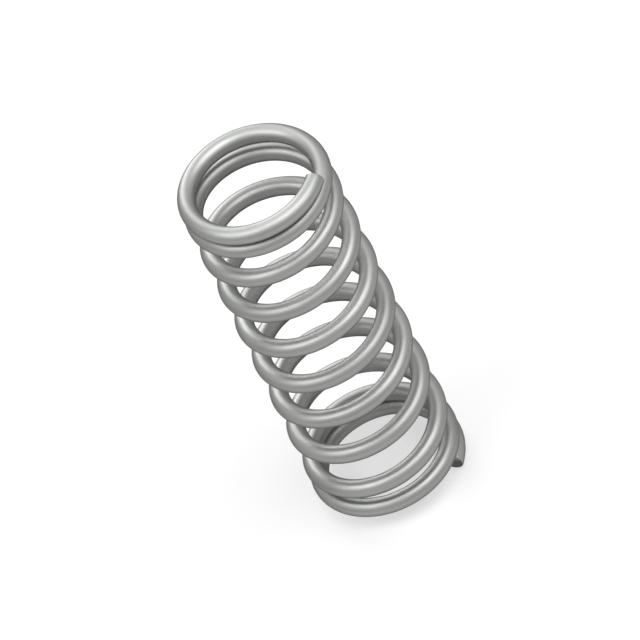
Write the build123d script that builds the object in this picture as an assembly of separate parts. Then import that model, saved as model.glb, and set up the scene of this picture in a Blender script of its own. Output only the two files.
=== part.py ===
from build123d import *

import math
import os

# A compression spring: one round wire, coiled right-handed about +Z, with a closed turn
# at each end that lies against its neighbour, and ends sheared square and left unground.
# It stands on its bottom turn, with the origin on the axis at the lowest point.

# Driving sizes, in millimetres
outside_diameter = 10.668
wire_diameter = 1.295
free_length = 31.75
closed_gap = 0.02

# Driving counts, in turns of the wire about the axis
total_turns = 10
closed_turns = 1
ramp_turns = 1

# Points of the wire's centre line to each turn, enough to keep it round to 0.003 mm
points_per_turn = 12

# Sizes that follow from those
wire_radius = wire_diameter / 2
mean_radius = (outside_diameter - wire_diameter) / 2
line_rise = free_length - wire_diameter
closed_pitch = wire_diameter + closed_gap

# Each ramp opens by half of the full opening on average, so the two count as one ramp's turns
opened_turns = total_turns - 2 * closed_turns - ramp_turns
extra_pitch = (line_rise - total_turns * closed_pitch) / opened_turns


def opening_at(turn):
    """Share of the full opening between turns, from 0 in a closed end to 1 in the body."""
    from_end = min(turn, total_turns - turn)
    return min(max(from_end - closed_turns, 0), ramp_turns) / ramp_turns


def height_at(turn):
    """Rise of the centre line from the bottom end, alike from either end."""
    if turn > total_turns / 2:
        return line_rise - height_at(total_turns - turn)
    past_closed = max(turn - closed_turns, 0)
    on_ramp = min(past_closed, ramp_turns)
    opened = on_ramp * opening_at(closed_turns + on_ramp) / 2 + past_closed - on_ramp
    return closed_pitch * turn + extra_pitch * opened


def point_at(turn):
    """Point of the centre line, which starts on the +X side with the wire resting on Z = 0."""
    angle = math.tau * turn
    across = Vector(math.cos(angle), math.sin(angle), 0) * mean_radius
    return across + Vector(0, 0, wire_radius + height_at(turn))


def direction_at(turn):
    """Unit direction of the centre line, up its helix."""
    angle = math.tau * turn
    pitch = closed_pitch + extra_pitch * opening_at(turn)
    around = Vector(-math.sin(angle), math.cos(angle), 0) * math.tau * mean_radius
    return (around + Vector(0, 0, pitch)).normalized()


def centre_line():
    """The wire's centre line, one smooth curve from sheared end to sheared end."""
    steps = round(total_turns * points_per_turn)
    points = [point_at(total_turns * step / steps) for step in range(steps + 1)]
    ends = [direction_at(0), direction_at(total_turns)]
    return Spline(points, tangents=ends, tangent_scalars=[1, 1])


def coil_spring():
    """The round wire along its centre line, cut square to it at both ends."""
    line = centre_line()
    sheared_end = Plane(origin=line @ 0, z_dir=line % 0) * Circle(wire_radius)
    return sweep(sheared_end, path=line, is_frenet=True)


os.makedirs("parts", exist_ok=True)
export_step(coil_spring(), "parts/coil_spring.step")
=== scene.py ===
import math

import bpy
from bpy.props import FloatProperty, FloatVectorProperty, IntProperty, PointerProperty
from mathutils import Matrix, Vector


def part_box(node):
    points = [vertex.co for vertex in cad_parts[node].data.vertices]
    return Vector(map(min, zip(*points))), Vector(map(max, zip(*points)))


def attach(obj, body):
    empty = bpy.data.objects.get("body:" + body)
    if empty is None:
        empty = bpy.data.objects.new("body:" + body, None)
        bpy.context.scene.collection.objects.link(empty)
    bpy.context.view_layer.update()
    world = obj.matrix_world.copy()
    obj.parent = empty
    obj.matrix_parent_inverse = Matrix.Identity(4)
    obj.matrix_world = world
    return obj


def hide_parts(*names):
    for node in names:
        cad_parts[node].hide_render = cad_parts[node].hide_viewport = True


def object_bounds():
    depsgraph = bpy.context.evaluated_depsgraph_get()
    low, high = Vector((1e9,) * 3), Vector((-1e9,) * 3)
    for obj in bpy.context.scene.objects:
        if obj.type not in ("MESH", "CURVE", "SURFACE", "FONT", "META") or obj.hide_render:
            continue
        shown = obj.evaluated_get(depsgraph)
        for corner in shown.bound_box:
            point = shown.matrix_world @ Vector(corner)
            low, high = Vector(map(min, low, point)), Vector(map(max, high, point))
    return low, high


bl_info = {
    "name": "Compression Spring",
    "version": (1, 0, 0),
    "blender": (4, 5, 0),
    "location": "3D View > Sidebar > Spring",
    "description": "Coils a closed-end spring from round wire and sets it on a lit stage",
    "category": "Add Mesh",
}

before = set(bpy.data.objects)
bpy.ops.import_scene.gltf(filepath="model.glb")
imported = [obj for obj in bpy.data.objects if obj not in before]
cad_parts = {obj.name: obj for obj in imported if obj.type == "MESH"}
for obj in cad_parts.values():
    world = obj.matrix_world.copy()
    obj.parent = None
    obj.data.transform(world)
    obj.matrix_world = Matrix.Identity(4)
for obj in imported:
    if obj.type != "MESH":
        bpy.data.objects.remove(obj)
CAD_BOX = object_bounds()

COIL_NODE = "coil_spring"
COIL_LOW, COIL_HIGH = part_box(COIL_NODE)
MM = 0.001

# Name of the attribute that holds where each point was on the wire before it was coiled
STRAIGHT_WIRE = "straight_wire"


# Small helpers

def linear(code):
    """An sRGB hex colour such as #9fa19e as the linear RGB that shaders take."""
    channels = [int(code[i:i + 2], 16) / 255 for i in (1, 3, 5)]
    return [c / 12.92 if c <= 0.04045 else ((c + 0.055) / 1.055) ** 2.4 for c in channels]


def add_node(tree, kind, inputs=None, **settings):
    """Adds a node, sets its own properties, then links or sets its sockets."""
    node = tree.nodes.new(kind)
    for name, value in settings.items():
        setattr(node, name, value)
    for socket, value in (inputs or {}).items():
        if isinstance(value, bpy.types.NodeSocket):
            tree.links.new(value, node.inputs[socket])
        else:
            node.inputs[socket].default_value = value
    return node


def add_to_scene(name, data):
    """Puts a new object with this data at the origin of the scene."""
    thing = bpy.data.objects.new(name, data)
    bpy.context.scene.collection.objects.link(thing)
    return thing


def direction_from(azimuth, elevation):
    """Unit vector towards a place round the object. Azimuth 0 is on the -Y side, 90 degrees on +X."""
    level = math.cos(elevation)
    return Vector((math.sin(azimuth) * level, -math.cos(azimuth) * level, math.sin(elevation)))


# What a user may change

class SpringSizes(bpy.types.PropertyGroup):
    """Sizes of the coil, in metres and turns"""

    outside_diameter: FloatProperty(
        name="Outside Diameter", description="Across the coil, over the wire",
        default=COIL_HIGH.x - COIL_LOW.x, min=0.001, subtype="DISTANCE", unit="LENGTH", precision=5)
    free_length: FloatProperty(
        name="Free Length", description="End to end with no load",
        default=COIL_HIGH.z - COIL_LOW.z, min=0.001, subtype="DISTANCE", unit="LENGTH", precision=5)
    wire_diameter: FloatProperty(
        name="Wire Diameter", description="Thickness of the round wire",
        default=1.295 * MM, min=0.0001, subtype="DISTANCE", unit="LENGTH", precision=5)
    closed_gap: FloatProperty(
        name="Closed Gap", description="Air between an end turn and the turn that it lies against",
        default=0.02 * MM, min=0, subtype="DISTANCE", unit="LENGTH", precision=5)
    rim_rounding: FloatProperty(
        name="Rim Rounding", description="Radius that shearing leaves round each cut end",
        default=0.04 * MM, min=0, subtype="DISTANCE", unit="LENGTH", precision=5)
    total_turns: FloatProperty(
        name="Total Turns", description="Turns from one wire end to the other", default=10, min=4)
    closed_turns: FloatProperty(
        name="Closed Turns", description="Turns that lie flat at each end", default=1, min=0)
    ramp_turns: FloatProperty(
        name="Ramp Turns", description="Turns over which the pitch opens up", default=1, min=0.1)
    steps_per_turn: IntProperty(
        name="Steps per Turn", description="Rings of the mesh in each turn", default=120, min=12)
    sides: IntProperty(
        name="Sides", description="Faces round the wire", default=40, min=8)


class SpringFinish(bpy.types.PropertyGroup):
    """Colours of the wire"""

    wire_colour: FloatVectorProperty(
        name="Wire Colour", description="Bright drawn steel",
        default=linear("#929391"), size=3, min=0, max=1, subtype="COLOR")
    film_colour: FloatVectorProperty(
        name="Film Colour", description="Grey film of drawing soap and heat, left in long patches",
        default=linear("#848583"), size=3, min=0, max=1, subtype="COLOR")
    rubbed_colour: FloatVectorProperty(
        name="Rubbed Colour", description="Band that the coiling tools rub along the outer side",
        default=linear("#9c9d9b"), size=3, min=0, max=1, subtype="COLOR")
    burnished_colour: FloatVectorProperty(
        name="Burnished Colour", description="Part of each wire end that the shear blade slides past",
        default=linear("#7c7d7b"), size=3, min=0, max=1, subtype="COLOR")
    torn_colour: FloatVectorProperty(
        name="Torn Colour", description="Part of each wire end that breaks away ahead of the blade",
        default=linear("#5c5d5b"), size=3, min=0, max=1, subtype="COLOR")


class StageLook(bpy.types.PropertyGroup):
    """Floor, lamps and camera"""

    floor_colour: FloatVectorProperty(
        name="Floor Colour", description="Pale matt card",
        default=linear("#a6a6a6"), size=3, min=0, max=1, subtype="COLOR")
    floor_glow: FloatProperty(
        name="Floor Glow", description="Brings the lit card up to white where it is seen",
        default=0.56, min=0)
    ambient: FloatProperty(
        name="Ambient", description="Even light from all round", default=0.15, min=0)
    camera_azimuth: FloatProperty(
        name="Camera Azimuth", description="Round the object, from the -Y side",
        default=math.radians(34.49), subtype="ANGLE")
    camera_elevation: FloatProperty(
        name="Camera Elevation", description="Above the floor",
        default=math.radians(46.05), subtype="ANGLE")
    camera_lean: FloatProperty(
        name="Camera Lean", description="How far the upright coil leans to the left in the picture",
        default=math.radians(26.115), subtype="ANGLE")
    camera_distance: FloatProperty(
        name="Camera Distance", description="From the middle of the object",
        default=0.2, subtype="DISTANCE", unit="LENGTH")
    view_width: FloatProperty(
        name="View Width", description="Width of what the camera takes in",
        default=42.824 * MM, subtype="DISTANCE", unit="LENGTH", precision=5)
    lamp_distance: FloatProperty(
        name="Lamp Distance", description="From the middle of the object",
        default=0.6, subtype="DISTANCE", unit="LENGTH")
    floor_width: FloatProperty(
        name="Floor Width", description="Side of the square floor",
        default=2.0, subtype="DISTANCE", unit="LENGTH")


# The coil

# What the coil's node tree takes in, and the kind of each socket
COIL_INPUTS = {
    "Outside Diameter": "NodeSocketFloat",
    "Wire Diameter": "NodeSocketFloat",
    "Free Length": "NodeSocketFloat",
    "Closed Gap": "NodeSocketFloat",
    "Rim Rounding": "NodeSocketFloat",
    "Total Turns": "NodeSocketFloat",
    "Closed Turns": "NodeSocketFloat",
    "Ramp Turns": "NodeSocketFloat",
    "Steps per Turn": "NodeSocketInt",
    "Sides": "NodeSocketInt",
    "Wire Material": "NodeSocketMaterial",
    "Cut Material": "NodeSocketMaterial",
}

# Rings of the mesh that round off each rim, beside the even steps between them
RIM_RINGS = 4


def coil_tree():
    """Node tree that lays a round wire along a helix whose pitch is closed at both ends."""
    tree = bpy.data.node_groups.new("closed_end_coil", "GeometryNodeTree")
    for name, kind in COIL_INPUTS.items():
        tree.interface.new_socket(name, in_out="INPUT", socket_type=kind)
    tree.interface.new_socket("Geometry", in_out="OUTPUT", socket_type="NodeSocketGeometry")
    given = add_node(tree, "NodeGroupInput").outputs

    # Sockets by name: what the tree takes in, then what each function below works out
    value = {name: given[name] for name in COIL_INPUTS}
    value["ring"] = add_node(tree, "GeometryNodeInputIndex").outputs[0]
    space_rings(tree, value)
    round_rims(tree, value)
    raise_rings(tree, value)
    wire = sweep_wire(tree, value)
    add_node(tree, "NodeGroupOutput", {"Geometry": coat_wire(tree, value, wire)})
    return tree


def build_rows(tree, value, rows):
    """Adds a Math node for each row: its name, its operation, and operands that may name earlier rows."""
    for name, operation, *operands in rows:
        inputs = {place: value.get(operand, operand) for place, operand in enumerate(operands)}
        node = add_node(tree, "ShaderNodeMath", inputs, operation=operation, label=name)
        value[name] = node.outputs[0]


def space_rings(tree, value):
    """Works out how many rings there are and the turn of each, with a rim's rings still at its inner edge."""
    build_rows(tree, value, (
        ("wire radius", "MULTIPLY", "Wire Diameter", 0.5),
        ("mean diameter", "SUBTRACT", "Outside Diameter", "Wire Diameter"),
        ("mean radius", "MULTIPLY", "mean diameter", 0.5),
        ("length of a turn", "MULTIPLY", "mean radius", math.tau),
        ("even steps", "MULTIPLY", "Total Turns", "Steps per Turn"),
        ("last", "ADD", "even steps", 2 * RIM_RINGS),
        ("count", "ADD", "last", 1),
        ("last even", "ADD", "even steps", RIM_RINGS),
        ("rim turns", "DIVIDE", "Rim Rounding", "length of a turn"),
        ("turns to last even", "SUBTRACT", "Total Turns", "rim turns"),
    ))
    evenly = add_node(tree, "ShaderNodeMapRange", {
        "Value": value["ring"], "From Min": RIM_RINGS, "From Max": value["last even"],
        "To Min": value["rim turns"], "To Max": value["turns to last even"]})
    value["even turn"] = evenly.outputs[0]


def round_rims(tree, value):
    """Works out the final turn and the scale of each ring, so that each rim is a quarter circle."""
    build_rows(tree, value, (
        ("rings to the end", "SUBTRACT", "last", "ring"),
        ("rings from a cut", "MINIMUM", "ring", "rings to the end"),
        ("ring share", "DIVIDE", "rings from a cut", RIM_RINGS),
        ("rim share", "MINIMUM", "ring share", 1),
        ("rim angle", "MULTIPLY", "rim share", math.pi / 2),
        ("rim cosine", "COSINE", "rim angle"),
        ("rim sine", "SINE", "rim angle"),
        ("rim short", "SUBTRACT", 1, "rim sine"),
        ("relative rounding", "DIVIDE", "Rim Rounding", "wire radius"),
        ("drawn in", "MULTIPLY", "relative rounding", "rim short"),
        ("scale", "SUBTRACT", 1, "drawn in"),
        ("past middle", "SUBTRACT", "ring", "rings to the end"),
        ("end sign", "SIGN", "past middle"),
        ("rim reach", "MULTIPLY", "rim turns", "rim cosine"),
        ("towards end", "MULTIPLY", "rim reach", "end sign"),
        ("turn", "ADD", "even turn", "towards end"),
    ))


def raise_rings(tree, value):
    """Works out the height of each ring's middle, by adding up how far the pitch is open on the way."""
    build_rows(tree, value, (
        ("half step", "DIVIDE", 0.5, "Steps per Turn"),
        ("middle of step", "ADD", "turn", "half step"),
        ("turns left", "SUBTRACT", "Total Turns", "middle of step"),
        ("turns from an end", "MINIMUM", "middle of step", "turns left"),
        ("ramp end", "ADD", "Closed Turns", "Ramp Turns"),
    ))
    share = add_node(tree, "ShaderNodeMapRange", {
        "Value": value["turns from an end"], "From Min": value["Closed Turns"],
        "From Max": value["ramp end"], "To Min": 0, "To Max": 1})
    summed = add_node(tree, "GeometryNodeAccumulateField", {"Value": share.outputs[0]})
    value["opened so far"], value["opened in all"] = summed.outputs["Trailing"], summed.outputs["Total"]
    build_rows(tree, value, (
        ("opened part", "DIVIDE", "opened so far", "opened in all"),
        ("closed pitch", "ADD", "Wire Diameter", "Closed Gap"),
        ("rise if closed", "MULTIPLY", "closed pitch", "Total Turns"),
        ("rise", "SUBTRACT", "Free Length", "Wire Diameter"),
        ("opening in all", "SUBTRACT", "rise", "rise if closed"),
        ("opening", "MULTIPLY", "opening in all", "opened part"),
        ("closed height", "MULTIPLY", "closed pitch", "turn"),
        ("height", "ADD", "closed height", "opening"),
        ("centre height", "ADD", "height", "wire radius"),
    ))


def sweep_wire(tree, value):
    """Lays the rings along the helix and keeps where each point was on the straight wire."""
    build_rows(tree, value, (("angle", "MULTIPLY", "turn", math.tau),))
    spoke = add_node(tree, "ShaderNodeCombineXYZ", {"X": value["mean radius"], "Z": value["centre height"]})
    place = add_node(tree, "ShaderNodeVectorRotate", {
        "Vector": spoke.outputs[0], "Angle": value["angle"]}, rotation_type="Z_AXIS")
    line = add_node(tree, "GeometryNodeCurvePrimitiveLine")
    points = add_node(tree, "GeometryNodeResampleCurve", {
        "Curve": line.outputs["Curve"], "Count": value["count"]})
    helix = add_node(tree, "GeometryNodeSetPosition", {
        "Geometry": points.outputs["Curve"], "Position": place.outputs[0]})
    upright = add_node(tree, "GeometryNodeSetCurveNormal", {"Curve": helix.outputs[0]}, mode="Z_UP")
    reach = add_node(tree, "GeometryNodeSplineParameter")
    along = add_node(tree, "GeometryNodeCaptureAttribute", {"Geometry": upright.outputs[0]})
    along.capture_items.new("FLOAT", "Along")
    tree.links.new(reach.outputs["Length"], along.inputs["Along"])

    circle = add_node(tree, "GeometryNodeCurvePrimitiveCircle", {
        "Resolution": value["Sides"], "Radius": value["wire radius"]})
    section = add_node(tree, "GeometryNodeCaptureAttribute", {"Geometry": circle.outputs["Curve"]})
    section.capture_items.new("VECTOR", "Section")
    tree.links.new(add_node(tree, "GeometryNodeInputPosition").outputs[0], section.inputs["Section"])
    wire = add_node(tree, "GeometryNodeCurveToMesh", {
        "Curve": along.outputs[0], "Profile Curve": section.outputs[0],
        "Scale": value["scale"], "Fill Caps": True})

    across = add_node(tree, "ShaderNodeSeparateXYZ", {"Vector": section.outputs["Section"]})
    straight = add_node(tree, "ShaderNodeCombineXYZ", {
        "X": along.outputs["Along"], "Y": across.outputs["X"], "Z": across.outputs["Y"]})
    marked = add_node(tree, "GeometryNodeStoreNamedAttribute", {
        "Geometry": wire.outputs[0], "Name": STRAIGHT_WIRE, "Value": straight.outputs[0]},
        data_type="FLOAT_VECTOR")
    return marked.outputs[0]


def coat_wire(tree, value, wire):
    """Shades the wire smooth and its two cut faces flat, and gives each its material."""
    # Only the two cut faces have more than four corners
    corners = add_node(tree, "GeometryNodeCornersOfFace")
    is_cut = add_node(tree, "FunctionNodeCompare", {
        "A": corners.outputs["Total"], "B": 4}, data_type="INT", operation="GREATER_THAN")
    is_wire = add_node(tree, "FunctionNodeBooleanMath", {0: is_cut.outputs[0]}, operation="NOT")
    shaded = add_node(tree, "GeometryNodeSetShadeSmooth", {
        "Geometry": wire, "Shade Smooth": is_wire.outputs[0]})
    real = add_node(tree, "GeometryNodeRealizeInstances", {"Geometry": shaded.outputs[0]})
    coated = add_node(tree, "GeometryNodeSetMaterial", {
        "Geometry": real.outputs[0], "Material": value["Wire Material"]})
    finished = add_node(tree, "GeometryNodeSetMaterial", {
        "Geometry": coated.outputs[0], "Selection": is_cut.outputs[0], "Material": value["Cut Material"]})
    return finished.outputs[0]


def shape_from_tree(name, tree, inputs):
    """An object whose plain mesh is what the tree makes of these inputs."""
    piece = add_to_scene(name, bpy.data.meshes.new(name))
    maker = piece.modifiers.new(name, "NODES")
    maker.node_group = tree
    for socket in tree.interface.items_tree:
        if socket.in_out == "INPUT":
            maker[socket.identifier] = inputs[socket.name]
    graph = bpy.context.evaluated_depsgraph_get()
    made = bpy.data.meshes.new_from_object(
        piece.evaluated_get(graph), preserve_all_data_layers=True, depsgraph=graph)
    piece.modifiers.remove(maker)
    piece.data = made
    made.name = name
    return piece


# Materials

def drawn_spring_steel(sizes, finish):
    """Spring steel wire, pulled bright through a die and coiled cold.

    The die leaves hairlines along the wire, which spread each highlight across it. A grey film of
    soap and heat stays in long dull patches, and the coiling tools rub a brighter, smoother band
    along the outer side.
    """
    material = bpy.data.materials.new("drawn_spring_steel")
    material.use_nodes = True
    tree = material.node_tree
    shader = tree.nodes["Principled BSDF"]
    shader.inputs["Metallic"].default_value = 1.0
    # The film takes up more light at a glancing look, which darkens the edges of the wire
    shader.inputs["Specular Tint"].default_value = (0.2, 0.2, 0.2, 1)
    straight = add_node(tree, "ShaderNodeAttribute", attribute_name=STRAIGHT_WIRE)

    # Hairlines from a die are about 0.01 mm apart, so they are drawn coarser to show
    hairlines = streaks(tree, straight, length=8 * MM, width=0.07 * MM)
    hairline_depth = 0.004 * MM
    patches = streaks(tree, straight, length=6 * MM, width=0.9 * MM)
    film_starts, film_full = 0.4, 0.7
    film = add_node(tree, "ShaderNodeMapRange", {
        "Value": patches.outputs[0], "From Min": film_starts, "From Max": film_full})

    # The rubbed band is full up to 10 degrees to either side of the outermost line, is gone by
    # 25 degrees, and misses the deepest hairlines
    wire_radius = sizes.wire_diameter / 2
    band_edge, band_full = math.cos(math.radians(25)), math.cos(math.radians(10))
    rub_misses, rub_full = 0.3, 0.6
    across = add_node(tree, "ShaderNodeSeparateXYZ", {"Vector": straight.outputs["Vector"]})
    facing_out = add_node(tree, "ShaderNodeMapRange", {
        "Value": across.outputs["Y"],
        "From Min": band_edge * wire_radius, "From Max": band_full * wire_radius})
    scuffed = add_node(tree, "ShaderNodeMapRange", {
        "Value": hairlines.outputs[0], "From Min": rub_misses, "From Max": rub_full})
    rubbed = add_node(tree, "ShaderNodeMath", {
        0: facing_out.outputs[0], 1: scuffed.outputs[0]}, operation="MULTIPLY")

    filmed_colour = add_node(tree, "ShaderNodeMix", {
        "Factor": film.outputs[0], "A": (*finish.wire_colour, 1), "B": (*finish.film_colour, 1)},
        data_type="RGBA")
    colour = add_node(tree, "ShaderNodeMix", {
        "Factor": rubbed.outputs[0], "A": filmed_colour.outputs["Result"],
        "B": (*finish.rubbed_colour, 1)}, data_type="RGBA")

    # The hairlines add 0.08 on average: bright wire comes to about 0.42, film 0.48, rubbed wire 0.36
    smooth, filmed, scoring, rubbing = 0.34, 0.40, 0.16, -0.06
    dulled = add_node(tree, "ShaderNodeMapRange", {
        "Value": film.outputs[0], "To Min": smooth, "To Max": filmed})
    scored = add_node(tree, "ShaderNodeMath", {
        0: hairlines.outputs[0], 1: scoring, 2: dulled.outputs[0]}, operation="MULTIPLY_ADD")
    roughness = add_node(tree, "ShaderNodeMath", {
        0: rubbed.outputs[0], 1: rubbing, 2: scored.outputs[0]}, operation="MULTIPLY_ADD")
    relief = add_node(tree, "ShaderNodeBump", {
        "Height": hairlines.outputs[0], "Strength": 0.8, "Distance": hairline_depth})
    tree.links.new(colour.outputs["Result"], shader.inputs["Base Color"])
    tree.links.new(roughness.outputs[0], shader.inputs["Roughness"])
    tree.links.new(relief.outputs[0], shader.inputs["Normal"])
    return material


def streaks(tree, straight, length, width):
    """Noise that runs along the wire, in streaks of about this length and width."""
    stretched = add_node(tree, "ShaderNodeVectorMath", {
        0: straight.outputs["Vector"], 1: (1 / length, 1 / width, 1 / width)}, operation="MULTIPLY")
    # Each streak carries three finer sets of streaks, each 0.6 as strong as the set before it
    finer_sets, share_of_last = 3.0, 0.6
    return add_node(tree, "ShaderNodeTexNoise", {
        "Vector": stretched.outputs[0], "Scale": 1.0, "Detail": finer_sets, "Roughness": share_of_last})


def sheared_steel(sizes, finish):
    """The cut face of the wire, sheared square.

    The blade burnishes the side where it enters, and the rest tears away with a dull grain.
    """
    material = bpy.data.materials.new("sheared_steel")
    material.use_nodes = True
    tree = material.node_tree
    shader = tree.nodes["Principled BSDF"]
    shader.inputs["Metallic"].default_value = 1.0

    # Real grain of the tear is about 0.02 mm, so it is drawn coarser to show
    grain_size, grain_depth = 0.06 * MM, 0.012 * MM
    place = add_node(tree, "ShaderNodeTexCoord")
    grain = add_node(tree, "ShaderNodeTexNoise", {
        "Vector": place.outputs["Object"], "Scale": 1 / grain_size, "Detail": 2.0})

    # The tear starts a third of the way down the face, along a ragged edge
    wire_radius = sizes.wire_diameter / 2
    raggedness = 0.15 * MM
    tear_starts, tear_full = -0.3 * wire_radius, -0.1 * wire_radius
    straight = add_node(tree, "ShaderNodeAttribute", attribute_name=STRAIGHT_WIRE)
    across = add_node(tree, "ShaderNodeSeparateXYZ", {"Vector": straight.outputs["Vector"]})
    ragged = add_node(tree, "ShaderNodeMath", {
        0: grain.outputs[0], 1: raggedness, 2: across.outputs["Z"]}, operation="MULTIPLY_ADD")
    torn = add_node(tree, "ShaderNodeMapRange", {
        "Value": ragged.outputs[0], "From Min": tear_starts, "From Max": tear_full})
    colour = add_node(tree, "ShaderNodeMix", {
        "Factor": torn.outputs[0], "A": (*finish.burnished_colour, 1), "B": (*finish.torn_colour, 1)},
        data_type="RGBA")
    burnished_roughness, torn_roughness = 0.35, 0.62
    roughness = add_node(tree, "ShaderNodeMapRange", {
        "Value": torn.outputs[0], "To Min": burnished_roughness, "To Max": torn_roughness})
    relief = add_node(tree, "ShaderNodeBump", {
        "Height": grain.outputs[0], "Strength": torn.outputs[0], "Distance": grain_depth})
    tree.links.new(colour.outputs["Result"], shader.inputs["Base Color"])
    tree.links.new(roughness.outputs[0], shader.inputs["Roughness"])
    tree.links.new(relief.outputs[0], shader.inputs["Normal"])
    return material


def matt_card(look):
    """Pale matt card: it takes the object's shadow, and is seen as white where nothing shades it."""
    material = bpy.data.materials.new("matt_card")
    material.use_nodes = True
    tree = material.node_tree
    tree.nodes.clear()
    card = add_node(tree, "ShaderNodeBsdfDiffuse", {"Color": (*look.floor_colour, 1)})
    glow = add_node(tree, "ShaderNodeEmission", {"Strength": look.floor_glow})
    dark = add_node(tree, "ShaderNodeEmission", {"Strength": 0.0})
    shown = add_node(tree, "ShaderNodeMixShader", {
        0: seen_directly(tree), 1: dark.outputs[0], 2: glow.outputs[0]})
    both = add_node(tree, "ShaderNodeAddShader", {0: card.outputs[0], 1: shown.outputs[0]})
    add_node(tree, "ShaderNodeOutputMaterial", {"Surface": both.outputs[0]})
    return material


def seen_directly(tree):
    """1 for rays from the camera, mirror rays and rays through glass, and 0 for light that spreads."""
    path = add_node(tree, "ShaderNodeLightPath").outputs
    mirrored = add_node(tree, "ShaderNodeMath", {
        0: path["Is Camera Ray"], 1: path["Is Glossy Ray"]}, operation="MAXIMUM")
    seen = add_node(tree, "ShaderNodeMath", {
        0: mirrored.outputs[0], 1: path["Is Transmission Ray"]}, operation="MAXIMUM")
    return seen.outputs[0]


# Stage

# Soft round lamps: name, azimuth and elevation in degrees, width in metres, and brightness
LAMPS = (
    ("key_lamp", 96, 62, 0.56, 3.3),
    ("left_lamp", -38, 54, 0.44, 3.0),
    ("top_lamp", 0, 80, 0.80, 0.8),
    ("back_lamp", -140, 52, 0.40, 1.1),
    ("rim_lamp", -140, 18, 0.40, 4.6),
)


def add_floor(look, level):
    """A square of card that the spring stands on."""
    edge = look.floor_width / 2
    corners = [(x, y, level) for x, y in ((-edge, -edge), (edge, -edge), (edge, edge), (-edge, edge))]
    data = bpy.data.meshes.new("floor")
    data.from_pydata(corners, [], [(0, 1, 2, 3)])
    data.materials.append(matt_card(look))
    add_to_scene("floor", data)


def add_lamp(name, azimuth, elevation, width, brightness, aim, distance):
    """A round soft lamp that faces the aim. Brightness is how bright its face looks, where 1 is white."""
    data = bpy.data.lights.new(name, "AREA")
    data.shape = "DISK"
    data.size = width
    area = math.pi * (width / 2) ** 2
    data.energy = brightness * math.pi * area
    lamp = add_to_scene(name, data)
    back = direction_from(math.radians(azimuth), math.radians(elevation))
    facing = back.to_track_quat("Z", "Y").to_matrix().to_4x4()
    lamp.matrix_world = Matrix.Translation(aim + back * distance) @ facing
    lamp.visible_camera = False


def add_camera(look, aim):
    """A camera without perspective at the photograph's angle, rolled so that the coil leans."""
    data = bpy.data.cameras.new("camera")
    data.type = "ORTHO"
    data.ortho_scale = look.view_width
    # The usual near clip of 0.1 m would cut into a thing this small if the camera came closer
    data.clip_start = 1 * MM
    camera = add_to_scene("camera", data)
    back = direction_from(look.camera_azimuth, look.camera_elevation)
    level = Vector((math.cos(look.camera_azimuth), math.sin(look.camera_azimuth), 0))
    upward = back.cross(level)
    right = level * math.cos(look.camera_lean) - upward * math.sin(look.camera_lean)
    turned = Matrix((right, back.cross(right), back)).transposed().to_4x4()
    camera.matrix_world = Matrix.Translation(aim + back * look.camera_distance) @ turned
    bpy.context.scene.camera = camera


def add_world(look):
    """Even light all round, seen as white."""
    world = bpy.data.worlds.new("studio")
    world.use_nodes = True
    bpy.context.scene.world = world
    tree = world.node_tree
    strength = add_node(tree, "ShaderNodeMapRange", {
        "Value": seen_directly(tree), "To Min": look.ambient, "To Max": 1.0})
    tree.links.new(strength.outputs[0], tree.nodes["Background"].inputs["Strength"])
    tree.nodes["Background"].inputs["Color"].default_value = (1, 1, 1, 1)


# Operators

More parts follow.
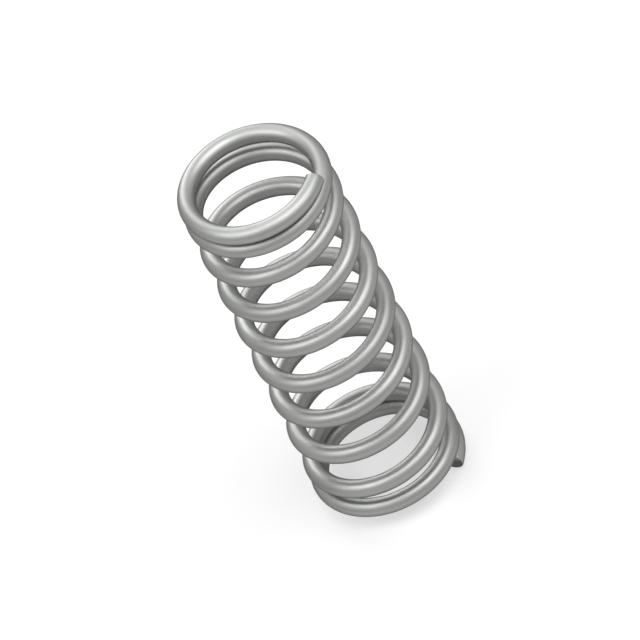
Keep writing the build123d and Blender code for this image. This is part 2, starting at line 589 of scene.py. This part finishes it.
class SPRING_OT_coil(bpy.types.Operator):
    """Coils the wire, finishes it and puts it in place of the plain solid"""

    bl_idname = "spring.coil"
    bl_label = "Coil Spring"

    def execute(self, context):
        sizes, finish = context.scene.spring_sizes, context.scene.spring_finish
        inputs = {
            "Outside Diameter": sizes.outside_diameter,
            "Wire Diameter": sizes.wire_diameter,
            "Free Length": sizes.free_length,
            "Closed Gap": sizes.closed_gap,
            "Rim Rounding": sizes.rim_rounding,
            "Total Turns": sizes.total_turns,
            "Closed Turns": sizes.closed_turns,
            "Ramp Turns": sizes.ramp_turns,
            "Steps per Turn": sizes.steps_per_turn,
            "Sides": sizes.sides,
            "Wire Material": drawn_spring_steel(sizes, finish),
            "Cut Material": sheared_steel(sizes, finish),
        }
        coil = shape_from_tree("spring_coil", coil_tree(), inputs)
        if not coil.data.polygons:
            raise RuntimeError("the coil came out empty")
        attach(coil, "root")
        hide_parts(COIL_NODE)
        return {"FINISHED"}


class SPRING_OT_stage(bpy.types.Operator):
    """Lays the floor, hangs the lamps and sets the camera"""

    bl_idname = "spring.stage"
    bl_label = "Set Stage"

    def execute(self, context):
        look = context.scene.spring_stage
        low, high = CAD_BOX
        aim = (low + high) / 2
        add_floor(look, low.z)
        for lamp in LAMPS:
            add_lamp(*lamp, aim, look.lamp_distance)
        add_world(look)
        add_camera(look, aim)
        context.scene.view_settings.view_transform = "Standard"
        return {"FINISHED"}


class SPRING_PT_panel(bpy.types.Panel):
    """Sizes, finish and stage of the spring"""

    bl_idname = "SPRING_PT_panel"
    bl_label = "Compression Spring"
    bl_space_type = "VIEW_3D"
    bl_region_type = "UI"
    bl_category = "Spring"

    def draw(self, context):
        scene = context.scene
        for group in (scene.spring_sizes, scene.spring_finish, scene.spring_stage):
            box = self.layout.box()
            for name in group.__annotations__:
                box.prop(group, name)
        self.layout.operator(SPRING_OT_coil.bl_idname)
        self.layout.operator(SPRING_OT_stage.bl_idname)


GROUPS = {"spring_sizes": SpringSizes, "spring_finish": SpringFinish, "spring_stage": StageLook}
CLASSES = (*GROUPS.values(), SPRING_OT_coil, SPRING_OT_stage, SPRING_PT_panel)


def register():
    """Registers the classes and hangs the settings on the scene."""
    for cls in CLASSES:
        bpy.utils.register_class(cls)
    for name, group in GROUPS.items():
        setattr(bpy.types.Scene, name, PointerProperty(type=group))


def unregister():
    """Takes the settings and the classes away again."""
    for name in GROUPS:
        delattr(bpy.types.Scene, name)
    for cls in reversed(CLASSES):
        bpy.utils.unregister_class(cls)


def main():
    """Makes the spring and its stage."""
    register()
    bpy.ops.spring.coil()
    bpy.ops.spring.stage()


if __name__ == "__main__":
    main()
